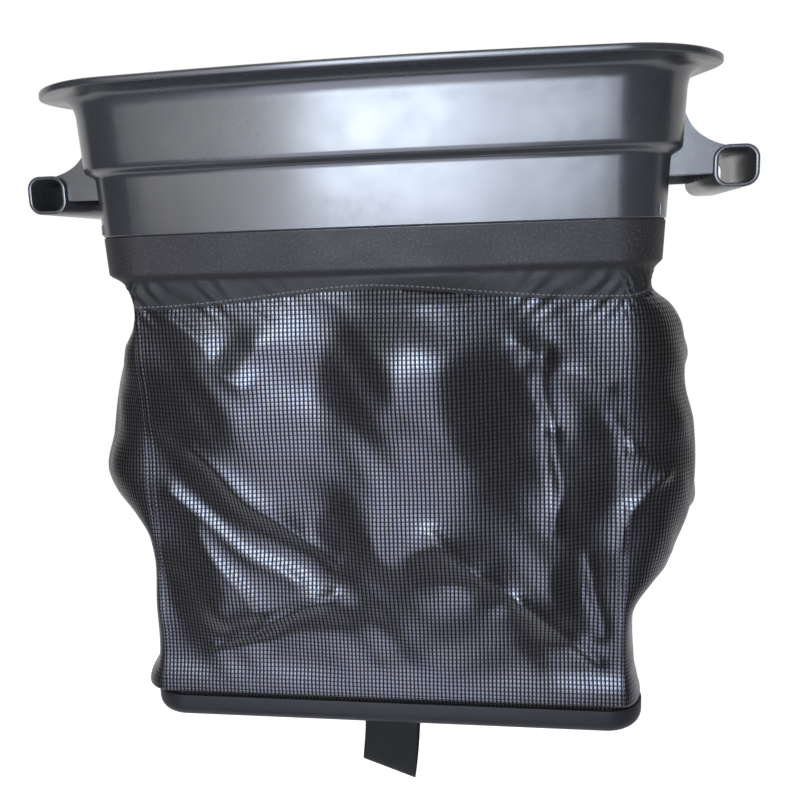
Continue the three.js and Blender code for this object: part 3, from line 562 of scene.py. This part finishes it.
def gathers(w, drop, section):
    """The tuck under the band, and slanting puckers below it near the bag's corners."""
    seat = seat_of(w)
    below = drop - BAND_CREASE
    fade = 1 - smoothstep(below, 12, 50)
    near = np.abs(np.cos(np.pi * seat)) ** 1.5
    from_corner = FACE_RUN / 2 * (1 - np.abs(2 * seat - 1))
    slant = from_corner - 1.3 * below + 3 * np.sin(from_corner / 17)
    wave = (np.sin(slant / 2.9 + np.sin(from_corner / 11)) * (0.7 + 0.4 * np.sin(from_corner / 8))
            + 0.3 * np.sin(slant / 1.3 + 0.8 * np.sin(below / 5)))
    tuck = -TUCK_DEPTH * smoothstep(below, -0.5, 7) * (1 - smoothstep(below, 14, 80))
    return (PUCKER_HEIGHT * fade * near * wave) * section["loose"] + tuck


def cloth(u, drop, inset=0.0):
    """Points of the cloth, as an array of three columns, and its unrolled places."""
    u, drop = np.broadcast_arrays(np.asarray(u, float), np.asarray(drop, float))
    w = u % 8
    section = cloth_section(drop)
    wall = np.floor(w).astype(int)
    t = w - wall
    x, y, unrolled = np.zeros_like(w), np.zeros_like(w), np.zeros_like(w)
    pucker = gathers(w, drop, section)
    swell = np.sin(np.pi * t) * section["slack"]

    for kind in (0, 4):
        on = wall == kind
        face = -1 if kind == 0 else 1
        across = t if kind == 0 else 1 - t
        along = lerp(-section["seam"][-1], section["seam"][1], across)
        edge = smoothstep(np.minimum(t, 1 - t), 0, 0.05) if kind else 1.0
        relief = cloth_relief(along, -drop, section, None if kind == 0 else REAR_FOLDS, edge)
        out = FACE_SWELL * swell + relief + pucker + section["bow"] * bow_at(along)
        x[on] = along[on]
        y[on] = (face * (section["front"] - inset + out))[on]
        unrolled[on] = along[on] if kind == 0 else REAR_PLACE - along[on]

    for side in (-1, 1):
        reach, seam = section["reach"][side], section["seam"][side]
        straight = section["front"] - section["corner"]
        arc = 0.5 * np.pi * np.sqrt(((reach - seam) ** 2 + section["corner"] ** 2) / 2)
        on = wall == (2 if side > 0 else 6)
        part = 2 * (t if side > 0 else 1 - t) - 1
        place = part * straight
        edge = smoothstep(np.minimum(t, 1 - t), 0, 0.12)
        relief = cloth_relief(place, -drop, section, SIDE_FOLDS, edge)
        along = side * (reach - inset + SIDE_SWELL * swell + pucker + relief)
        x[on] = along[on]
        y[on] = (part * (straight + section["bow"] * bow_at(along)))[on]
        unrolled[on] = (side * (seam + arc + straight + place))[on]
        for kind, face in ((1, -1), (3, 1)) if side > 0 else ((7, -1), (5, 1)):
            on = wall == kind
            from_face = t if kind in (1, 5) else 1 - t
            a = from_face * np.pi / 2
            if face < 0:
                place = side * (seam + arc * from_face)
                relief = cloth_relief(place, -drop, section, None,
                                      1 - smoothstep(from_face, 0.7, 1))
            else:
                relief = np.zeros_like(w)
            bulge = pucker + relief - inset
            along = side * (seam + (reach - seam + bulge) * np.sin(a))
            x[on] = along[on]
            y[on] = (face * (straight + section["bow"] * bow_at(along)
                             + (section["corner"] + bulge) * np.cos(a)))[on]
            round_it = seam + arc * from_face
            if face > 0:
                round_it = seam + 2 * arc + 2 * straight - arc * from_face
            unrolled[on] = (side * round_it)[on]
    return np.stack([x, y, -drop], -1), unrolled


def seam_distance(u):
    """Along the cloth from the nearest of the four corner seams."""
    w = u % 8
    reach = np.concatenate([[0], np.cumsum(RUNS)])
    at = np.interp(w, range(9), reach)
    return min(abs(at - reach[k]) for k in (0, 1, 4, 5, 8))


def cloth_columns(start, end, pitch):
    """Places u from start to end, about a pitch apart along the cloth."""
    places = []
    for wall in range(start, end):
        count = max(2, round(RUNS[wall % 8] / pitch))
        places += [wall + k / count for k in range(count)]
    return np.array(places + [end], float)


def cloth_sheet(name, places, drops_at, thick, inset=0.0, ring=False):
    """A closed thin sheet between an outer and an inner grid of cloth points."""
    if ring:
        places = places[:-1]
    drops = np.stack([drops_at(u) for u in places], axis=1)
    count_rows, count = drops.shape
    grids = []
    for depth in (inset, inset + thick):
        points, unrolled = cloth(np.broadcast_to(places, drops.shape), drops, depth)
        grids.append((points.reshape(-1, 3), np.stack([unrolled, drops], -1).reshape(-1, 2)))
    # how far from the nearest upright seam, and how far below the band's seam
    below = drops - np.array([seam_drop(u) for u in places])
    beside = np.broadcast_to([seam_distance(u) for u in places], drops.shape)
    seams = np.stack([beside, below], -1).reshape(-1, 2)
    outer, inner = grids
    half = len(outer[0])
    faces = grid_faces(count_rows, count, wrap_columns=ring)
    faces += [tuple(half + k for k in reversed(face)) for face in faces]
    edges = [(c, (c + 1) % count) for c in range(count if ring else count - 1)]
    last = (count_rows - 1) * count
    for a, b in edges:
        faces.append((a, b, half + b, half + a))
        faces.append((last + b, last + a, half + last + a, half + last + b))
    if not ring:
        for r in range(count_rows - 1):
            a, b = r * count, (r + 1) * count
            faces.append((b, a, half + a, half + b))
            a, b = a + count - 1, b + count - 1
            faces.append((a, b, half + b, half + a))
    points = np.concatenate([outer[0], inner[0]])
    uvs = {"cloth": np.concatenate([outer[1], inner[1]]), "seam": np.concatenate([seams, seams])}
    return make_mesh(name, points.tolist(), faces, uvs, smooth_angle=60)


def even_drops(start, end, count):
    return lambda u: np.linspace(start(u), end(u), count)


def band_drops(u):
    loose = np.linspace(BAND_CREASE, seam_drop(u), LOOSE_ROWS)
    return np.concatenate([np.linspace(BAND_TOP, BAND_CREASE - 2.5, 8), [BAND_CREASE - 1], loose])


def mesh_drops(u):
    wall = np.linspace(seam_drop(u) + GAP, BASE_TOP - FOLD_IN - 1, MESH_ROWS)
    fold = np.linspace(BASE_TOP - FOLD_IN, BASE_TOP - 0.5, 8)
    return np.concatenate([wall, fold, [BASE_TOP + BASE_TUCK]])


def corner_tape(name, u):
    """A tape behind a corner seam, half on each of the walls that it joins."""
    face_first = u % 4 == 1
    face_half, arc_half = TAPE_WIDTH / 2 / FACE_RUN, TAPE_WIDTH / 2 / CORNER_RUN
    before, after = (face_half, arc_half) if face_first else (arc_half, face_half)
    places = np.concatenate([np.linspace(u - before, u, 4), np.linspace(u, u + after, 4)[1:]])
    drops = even_drops(lambda _: seam_drop(u) + TAPE_WIDTH / 2 + 1,
                       lambda _: BASE_TOP - TAPE_END, TAPE_ROWS)
    return cloth_sheet(name, places, drops, TAPE_THICK, inset=MESH_THICK + TAPE_GAP)


# Base and strap

def make_base():
    """A shallow tray, round along its lower edge, with a fillet inside at its floor."""
    def plan(inset, drop):
        return rounded_plan(BASE_HALF_WIDTH - inset, BASE_HALF_DEPTH - inset,
                            max(BASE_RADIUS - inset, 1), -drop, BASE_SHIFT, corner_steps=14)
    floor = BASE_DROP - BASE_FLOOR
    rows = []
    for k in range(9):
        a = k / 8 * math.pi / 2
        rows.append(plan(BASE_EDGE_ROUND * (1 - math.sin(a)),
                         BASE_DROP - BASE_EDGE_ROUND * (1 - math.cos(a))))
    rows += [plan(0, BASE_TOP + 1), plan(0.3, BASE_TOP + 0.3), plan(1, BASE_TOP),
             plan(BASE_WALL - 1, BASE_TOP), plan(BASE_WALL, BASE_TOP + 1),
             plan(BASE_WALL, floor - BASE_FILLET), plan(BASE_WALL + 2, floor - 2),
             plan(BASE_WALL + BASE_FILLET, floor)]
    rows.reverse()
    points, faces = loft(rows, caps=True)
    return make_mesh("base_moulding", points, faces, smooth_angle=40)


def make_strap():
    """A closed webbing loop: down the front, round, up and back over the tray's floor."""
    front, rear = STRAP_FRONT, STRAP_FRONT + STRAP_SPAN
    floor = -(BASE_DROP - BASE_FLOOR) + GAP
    half = STRAP_THICK / 2

    def outline(out):
        top, low = floor + half, -(BASE_DROP + STRAP_DROP) - out
        shoulder = -(BASE_DROP + 0.45 * STRAP_DROP)
        path = [(front - out, z) for z in np.linspace(top - STRAP_THICK, shoulder, 8)]
        path += cubic((front - out, shoulder), (front - out, low), (rear + out, low),
                      (rear + out, shoulder), 28)
        path += [(rear + out, z) for z in np.linspace(shoulder, top - STRAP_THICK, 8)[1:]]
        path += quadratic((rear + out, top - STRAP_THICK), (rear + out, top + out),
                          (rear - STRAP_THICK, top + out), 5)
        path += quadratic((front + STRAP_THICK, top + out), (front - out, top + out),
                          (front - out, top - STRAP_THICK), 5)[:-1]
        return path

    across = np.concatenate([[-0.5], np.linspace(-0.485, 0.485, 24), [0.5]])
    loops = []
    for part in across:
        # the webbing is thinner at its two edges
        rim = 1 - 0.35 * (abs(part) > 0.49)
        loops.append((part, outline(half * rim), outline(-half * rim)))
    points, uvs, faces = [], [], []
    ring = len(loops[0][1])
    for part, *pair in loops:
        for outer in (0, 1):
            run = 0.0
            previous = pair[outer][0]
            for y, z in pair[outer]:
                run += math.hypot(y - previous[0], z - previous[1])
                previous = (y, z)
                hang = np.clip((-z - BASE_DROP) / STRAP_DROP, 0, 1) ** 1.5
                points.append((STRAP_X + part * STRAP_WIDTH + STRAP_SWAY * hang, y,
                               z - STRAP_SLANT * part * hang))
                uvs.append((part * STRAP_WIDTH, run))
    for k in range(len(loops) - 1):
        a, b = 2 * ring * k, 2 * ring * (k + 1)
        for j in range(ring):
            n = (j + 1) % ring
            faces.append((a + j, a + n, b + n, b + j))
            faces.append((a + ring + n, a + ring + j, b + ring + j, b + ring + n))
    for k, flip in ((0, False), (len(loops) - 1, True)):
        a = 2 * ring * k
        for j in range(ring):
            n = (j + 1) % ring
            quad = (a + n, a + j, a + ring + j, a + ring + n)
            faces.append(tuple(reversed(quad)) if flip else quad)
    return make_mesh("strap_webbing", points, faces, {"cloth": uvs}, smooth_angle=50)


# Materials

class Nodes:
    """A short way to write a material's nodes."""

    def __init__(self, name):
        self.material = bpy.data.materials.new(name)
        self.material.use_nodes = True
        self.tree = self.material.node_tree
        self.tree.nodes.clear()
        self.shader = self.add("ShaderNodeBsdfPrincipled")
        output = self.add("ShaderNodeOutputMaterial")
        self.link(self.shader.outputs["BSDF"], output.inputs["Surface"])

    def add(self, kind, **values):
        node = self.tree.nodes.new(kind)
        for key, value in values.items():
            setattr(node, key, value)
        return node

    def link(self, source, target):
        self.tree.links.new(source, target)

    def set(self, **values):
        for key, value in values.items():
            self.shader.inputs[key.replace("_", " ")].default_value = value

    def into(self, socket, value):
        if isinstance(value, bpy.types.NodeSocket):
            self.link(value, socket)
        else:
            socket.default_value = value

    def math(self, operation, a, b=0.0, c=0.0):
        node = self.add("ShaderNodeMath", operation=operation)
        for socket, value in zip(node.inputs, (a, b, c)):
            self.into(socket, value)
        return node.outputs[0]

    def ramp(self, value, low, high, to_low=0.0, to_high=1.0):
        node = self.add("ShaderNodeMapRange", interpolation_type="SMOOTHSTEP")
        self.into(node.inputs["Value"], value)
        for key, number in (("From Min", low), ("From Max", high), ("To Min", to_low),
                            ("To Max", to_high)):
            self.into(node.inputs[key], number)
        return node.outputs["Result"]

    def mix(self, factor, a, b):
        node = self.add("ShaderNodeMix", data_type="RGBA")
        self.into(node.inputs["Factor"], factor)
        for socket, value in ((node.inputs[6], a), (node.inputs[7], b)):
            self.into(socket, value if isinstance(value, bpy.types.NodeSocket) else (*value, 1))
        return node.outputs[2]

    def noise(self, vector, scale, detail=2.0, roughness=0.5):
        node = self.add("ShaderNodeTexNoise")
        self.link(vector, node.inputs["Vector"])
        node.inputs["Scale"].default_value = scale
        node.inputs["Detail"].default_value = detail
        node.inputs["Roughness"].default_value = roughness
        return node.outputs["Fac"]

    def place(self):
        return self.add("ShaderNodeTexCoord").outputs["Object"]

    def layer_place(self, layer):
        """A place in one of the cloth's layers: both parts together, and each by itself."""
        node = self.add("ShaderNodeUVMap", uv_map=layer)
        split = self.add("ShaderNodeSeparateXYZ")
        self.link(node.outputs["UV"], split.inputs[0])
        return node.outputs["UV"], split.outputs["X"], split.outputs["Y"]

    def stitches(self, run, over, at):
        """1 on the stitches of a row that runs along run, where over is at."""
        beside = self.math("ABSOLUTE", self.math("SUBTRACT", over, at * MM))
        row = self.ramp(beside, STITCH_HALF_WIDTH * MM, STITCH_EDGE * MM, 1.0, 0.0)
        stitch = self.ramp(self.wave(run, STITCH_PITCH * MM), 0.25, 0.45)
        return self.math("MULTIPLY", row, stitch)

    def bump(self, height, distance, strength=1.0, under=None):
        node = self.add("ShaderNodeBump")
        node.inputs["Distance"].default_value = distance
        node.inputs["Strength"].default_value = strength
        self.link(height, node.inputs["Height"])
        if under is not None:
            self.link(under, node.inputs["Normal"])
        return node.outputs["Normal"]

    def wave(self, value, pitch, shift=0.0):
        """0 to 1 and back over each pitch, in metres."""
        turned = self.math("MULTIPLY_ADD", value, 2 * math.pi / pitch, shift)
        return self.math("MULTIPLY_ADD", self.math("COSINE", turned), 0.5, 0.5)

    def finish(self, color=None, roughness=None, normal=None):
        if color is not None:
            self.link(color, self.shader.inputs["Base Color"])
        if roughness is not None:
            self.link(roughness, self.shader.inputs["Roughness"])
        if normal is not None:
            self.link(normal, self.shader.inputs["Normal"])
        return self.material


def moulded_plastic(name, dark, light, rough_low, rough_high, grain, specular=0.5):
    """Plastic with a fine moulded grain, slightly uneven in colour and gloss."""
    n = Nodes(name)
    place = n.place()
    cloudy = n.noise(place, 9, 3)
    rubbed = n.noise(place, 60, 4, 0.6)
    color = n.mix(cloudy, dark, light)
    roughness = n.ramp(n.math("MULTIPLY_ADD", rubbed, 0.4, n.math("MULTIPLY", cloudy, 0.6)),
                       0.3, 0.7, rough_low, rough_high)
    n.set(Specular_IOR_Level=specular)
    fine = n.noise(place, 1400, 2)
    wavy = n.noise(place, 22, 1)
    normal = n.bump(fine, grain * MM, 0.5, n.bump(wavy, 0.5 * MM, 0.5))
    return n.finish(color, roughness, normal)


def mesh_cloth(name):
    """Open weave: upright threads over thinner cross threads, with small holes painted near black
    as painted shade of the bag's inside seen through them.
    """
    n = Nodes(name)
    uv, across, down = n.layer_place("cloth")
    pitch = THREAD_PITCH * MM
    stray = n.math("MULTIPLY_ADD", n.noise(uv, 60, 2), 0.9 * MM, -0.45 * MM)
    across = n.math("ADD", across, stray)
    upright = n.wave(across, pitch)
    cross = n.wave(down, pitch * CROSS_SHARE)
    thread = n.ramp(upright, 0.16, 0.62)
    crossed = n.ramp(cross, 0.1, 0.6, 0.36, 1.0)
    solid = n.math("MULTIPLY", thread, crossed)
    uneven = n.noise(uv, 25, 3)
    thread_color = n.mix(uneven, (0.008, 0.007, 0.0066), (0.0125, 0.0115, 0.0115))
    # painted shade: the gaps between threads are painted near black for the shaded inside of the
    # bag seen through the holes
    color = n.mix(solid, (0.004, 0.0034, 0.003), thread_color)
    _, beside, _ = n.layer_place("seam")
    sewn = n.stitches(down, beside, STITCH_FROM_CORNER)
    color = n.mix(sewn, color, (0.03, 0.03, 0.033))
    n.link(n.ramp(solid, 0, 1, 0.04, 0.95), n.shader.inputs["Specular IOR Level"])
    roughness = n.ramp(n.noise(uv, 300, 2), 0.3, 0.7, 0.3, 0.38)
    height = n.math("ADD", n.math("MULTIPLY_ADD", cross, 0.35, upright), sewn)
    n.set(Specular_Tint=(0.84, 0.89, 1.0, 1.0))
    return n.finish(color, roughness, n.bump(height, 0.3 * MM, 0.3))


def coated_cloth(name):
    """Fine dense weave under a dull speckled coating, with painted shade that darkens it where it
    hangs loose below the crease.
    """
    n = Nodes(name)
    uv, across, down = n.layer_place("cloth")
    pitch = COATED_PITCH * MM
    weave = n.math("MULTIPLY", n.wave(across, pitch), n.wave(down, pitch))
    speckle = n.ramp(n.noise(uv, 520, 4, 0.75), 0.5, 0.66)
    patchy = n.noise(uv, 18, 4, 0.6)
    color = n.mix(patchy, (0.0055, 0.0049, 0.0047), (0.0105, 0.0096, 0.0093))
    color = n.mix(n.math("MULTIPLY", speckle, 0.5), color, (0.034, 0.032, 0.032))
    # painted shade: below the crease the band's colour is darkened, where the loose cloth hangs in
    # shade
    slack = n.ramp(down, (BAND_CREASE - 1) * MM, (BAND_CREASE + 2) * MM, 0.0, 0.6)
    color = n.mix(slack, color, (0.004, 0.004, 0.0042))
    _, _, below = n.layer_place("seam")
    sewn = n.stitches(across, below, -STITCH_ABOVE_SEAM)
    color = n.mix(sewn, color, (0.055, 0.055, 0.06))
    roughness = n.ramp(patchy, 0.3, 0.7, 0.5, 0.66)
    height = n.math("ADD", n.math("MULTIPLY", weave, 0.5), n.noise(uv, 420, 4, 0.7))
    height = n.math("MULTIPLY_ADD", sewn, 3, height)
    n.set(Specular_IOR_Level=0.2)
    return n.finish(color, roughness, n.bump(height, 0.22 * MM, 0.6))


def ribbed_cloth(name, pitch_across, pitch_along, dark, light):
    """Narrow woven goods: tape and webbing."""
    n = Nodes(name)
    uv, across, down = n.layer_place("cloth")
    rib = n.wave(down, pitch_along)
    twill = n.wave(n.math("MULTIPLY_ADD", down, 0.6, across), pitch_across)
    weave = n.math("MULTIPLY_ADD", twill, 0.6, n.math("MULTIPLY", rib, 0.4))
    worn = n.noise(uv, 40, 3)
    color = n.mix(n.math("MULTIPLY", weave, worn), dark, light)
    roughness = n.ramp(worn, 0.3, 0.7, 0.7, 0.85)
    n.set(Sheen_Weight=0.01, Specular_IOR_Level=0.12)
    return n.finish(color, roughness, n.bump(weave, 0.3 * MM, 0.7))


# Pieces

def dress(piece, material, slot, *nodes):
    """Give a piece its material and its body, and hide the nodes that it stands for. The slot is
    not used.
    """
    piece.data.materials.append(material)
    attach(piece, "root")
    if nodes:
        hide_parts(*nodes)
    return piece


plastic = moulded_plastic("collar_plastic", (0.012, 0.0122, 0.013), (0.02, 0.0203, 0.0215),
                          0.2, 0.32, 0.05)
base_plastic = moulded_plastic("base_plastic", (0.005, 0.005, 0.0053), (0.009, 0.009, 0.0095),
                               0.44, 0.56, 0.09, 0.12)
band_material = coated_cloth("coated_cloth")
mesh_material = mesh_cloth("mesh_cloth")
tape_material = ribbed_cloth("tape_cloth", 1.4 * MM, 1.1 * MM, (0.012,) * 3, (0.03,) * 3)
webbing_material = ribbed_cloth("webbing", 2.2 * MM, 1.5 * MM, (0.002,) * 3, (0.008,) * 3)

dress(make_collar(), plastic, "collar_plastic", "collar")
band = dress(cloth_sheet("band_cloth", cloth_columns(0, 8, COLUMN_PITCH), band_drops,
                         BAND_THICK, ring=True), band_material, "coated_cloth", "header_band")
header_tape = dress(cloth_sheet(
    "band_tape", cloth_columns(0, 8, COLUMN_PITCH),
    even_drops(lambda u: seam_drop(u) - TAPE_WIDTH / 2, lambda u: seam_drop(u) + TAPE_WIDTH / 2, 8),
    TAPE_THICK, inset=BAND_THICK + TAPE_GAP, ring=True), tape_material, "tape", "header_tape")
for wall, start, end in (("front", 0, 1), ("right", 1, 4), ("rear", 4, 5), ("left", 5, 8)):
    places = cloth_columns(start, end, COLUMN_PITCH)
    dress(cloth_sheet(f"{wall}_mesh_cloth", places, mesh_drops, MESH_THICK),
                        mesh_material, "mesh_cloth", f"mesh_{wall}")
for corner, u in (("front_right", 1), ("rear_right", 4), ("rear_left", 5), ("front_left", 8)):
    dress(corner_tape(f"{corner}_tape", u), tape_material, "tape",
                          f"seam_{corner}")
dress(make_base(), base_plastic, "base_plastic", "base_tray")
strap = dress(make_strap(), webbing_material, "webbing", "strap")


# Studio

def make_camera():
    turn, tilt, roll = map(math.radians, (CAMERA_TURN, CAMERA_TILT, CAMERA_ROLL))
    # rows: right, down and forward of the camera
    looking = (Matrix.Rotation(roll, 3, "Z") @ Matrix.Rotation(tilt, 3, "X")
               @ Matrix.Rotation(turn, 3, "Y") @ Matrix(((1, 0, 0), (0, 0, -1), (0, 1, 0))))
    right, down, forward = looking
    camera_data = bpy.data.cameras.new("camera")
    camera_data.lens = LENS
    camera_data.sensor_width = 36
    camera = bpy.data.objects.new("camera", camera_data)
    turned = Matrix((right, -down, -forward)).transposed().to_4x4()
    camera.matrix_world = Matrix.Translation(Vector(CAMERA_AT) * MM) @ turned
    bpy.context.scene.collection.objects.link(camera)
    bpy.context.scene.camera = camera


def make_softbox(name, at, aim, size, power, color):
    light = bpy.data.lights.new(name, "AREA")
    light.shape = "RECTANGLE"
    light.size, light.size_y = size
    light.energy = power
    light.color = color
    lamp = bpy.data.objects.new(name, light)
    lamp.location = at
    lamp.rotation_euler = (Vector(aim) - Vector(at)).to_track_quat("-Z", "Y").to_euler()
    lamp.visible_camera = False
    bpy.context.scene.collection.objects.link(lamp)


def background_rays(tree):
    """1 for the rays that see the background: camera, glossy and transmission."""
    path = tree.nodes.new("ShaderNodeLightPath")
    total = path.outputs["Is Camera Ray"]
    for name in ("Is Glossy Ray", "Is Transmission Ray"):
        node = tree.nodes.new("ShaderNodeMath")
        node.operation = "MAXIMUM"
        tree.links.new(total, node.inputs[0])
        tree.links.new(path.outputs[name], node.inputs[1])
        total = node.outputs[0]
    return total


def make_flags():
    """Dark cards round the lights. They show only in reflections, as a dim room would."""
    material = bpy.data.materials.new("dark_card")
    material.use_nodes = True
    shader = material.node_tree.nodes["Principled BSDF"]
    shader.inputs["Base Color"].default_value = (0.03, 0.029, 0.028, 1)
    shader.inputs["Roughness"].default_value = 1
    shader.inputs["Specular IOR Level"].default_value = 0
    wide, low, top = CARD_REACH, CARD_LOW, CARD_TOP
    cards = {
        "front": [(-wide, -wide, low), (wide, -wide, low), (wide, -wide, top),
                  (-wide, -wide, top)],
        "low": [(-wide, -wide, low), (wide, -wide, low), (wide, LOW_CARD_END, low),
                (-wide, LOW_CARD_END, low)],
    }
    for side, x in (("left", -wide), ("right", wide)):
        cards[side] = [(x, -wide, low), (x, SIDE_CARD_END, low), (x, SIDE_CARD_END, top),
                       (x, -wide, top)]
    for name, corners in cards.items():
        card = make_mesh(f"{name}_card", corners, [(0, 1, 2, 3)])
        card.data.materials.append(material)
        card.visible_camera = False
        card.visible_diffuse = False
        card.visible_transmission = False
        card.visible_shadow = False


def make_studio():
    world = bpy.data.worlds.new("studio")
    bpy.context.scene.world = world
    world.use_nodes = True
    tree = world.node_tree
    strength = tree.nodes.new("ShaderNodeMapRange")
    tree.links.new(background_rays(tree), strength.inputs["Value"])
    strength.inputs["To Min"].default_value = WORLD_FILL
    strength.inputs["To Max"].default_value = 1.0
    tree.links.new(strength.outputs["Result"], tree.nodes["Background"].inputs["Strength"])
    tree.nodes["Background"].inputs["Color"].default_value = (1, 1, 1, 1)

    half = FLOOR_HALF
    floor = make_mesh("floor", [(x, y, -FLOOR_DROP) for x, y in
                                ((-half, -half), (half, -half), (half, half), (-half, half))],
                      [(0, 1, 2, 3)])
    material = bpy.data.materials.new("pale_floor")
    material.use_nodes = True
    shader = material.node_tree.nodes["Principled BSDF"]
    shader.inputs["Base Color"].default_value = (0.85, 0.85, 0.85, 1)
    shader.inputs["Roughness"].default_value = 0.9
    shader.inputs["Specular IOR Level"].default_value = 0.1
    shader.inputs["Emission Color"].default_value = (1, 1, 1, 1)
    glow = material.node_tree.nodes.new("ShaderNodeMath")
    glow.operation = "MULTIPLY"
    material.node_tree.links.new(background_rays(material.node_tree), glow.inputs[0])
    glow.inputs[1].default_value = FLOOR_GLOW
    material.node_tree.links.new(glow.outputs[0], shader.inputs["Emission Strength"])
    floor.data.materials.append(material)

    for name, values in SOFTBOXES.items():
        make_softbox(f"{name}_softbox", *values)


make_camera()
make_studio()
make_flags()
bpy.context.scene.view_settings.view_transform = "Standard"
